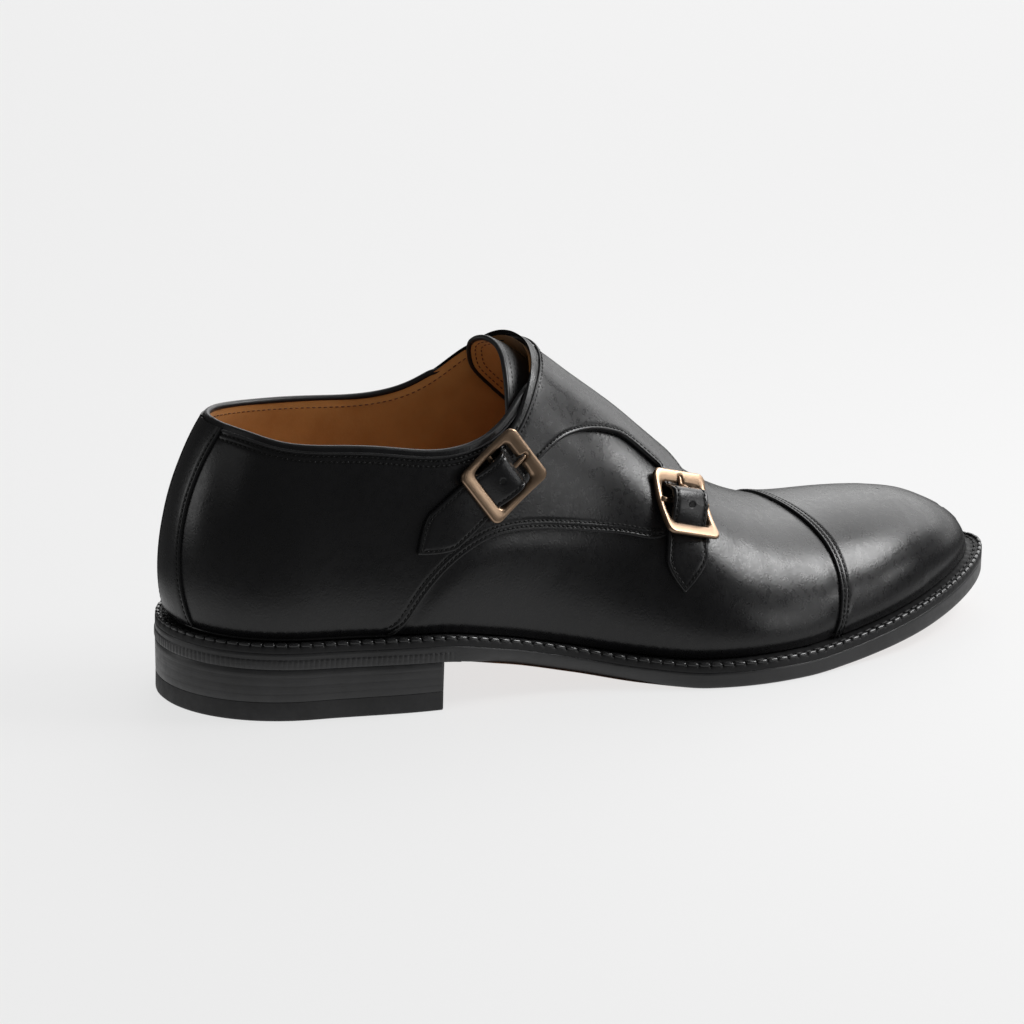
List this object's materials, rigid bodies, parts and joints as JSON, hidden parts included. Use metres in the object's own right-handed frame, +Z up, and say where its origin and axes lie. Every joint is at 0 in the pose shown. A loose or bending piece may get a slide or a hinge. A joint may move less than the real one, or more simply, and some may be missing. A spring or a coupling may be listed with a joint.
{
  "type": "monk strap shoe",
  "caption": "Right dress shoe in black leather with a stitched toe cap, overlapping instep straps with metal buckles, a welted leather sole and a stacked heel.",
  "frame": {"origin": "centre of the shoe's footprint box, on the ground", "axes": "+X from heel to toe, +Y to the inner (medial) side of this right shoe, +Z up"},
  "size_m": [0.3036, 0.109, 0.1121],
  "materials": {
    "black_calf": "smooth satin calf with a fine grain",
    "black_edge": "black waxed edge with wheel marks",
    "black_rubber": "matt",
    "tan_lining": "soft unpolished lining leather",
    "sole_leather": "smooth veg-tanned sole leather",
    "antique_brass": "brushed, darkened brass"
  },
  "bodies": {
    "root": {"outsole": "black_edge", "welt": "black_edge", "heel_stack": "black_edge", "heel_top_piece": "black_rubber", "insole": "tan_lining", "upper": "black_calf", "tongue": "black_calf", "toe_cap": "black_calf", "back_strip": "black_calf", "strap_wing": "black_calf", "buckle_rear": "antique_brass", "prong_rear": "antique_brass", "buckle_tab_rear": "black_calf", "buckle_front": "antique_brass", "prong_front": "antique_brass", "buckle_tab_front": "black_calf"}
  },
  "joints": []
}
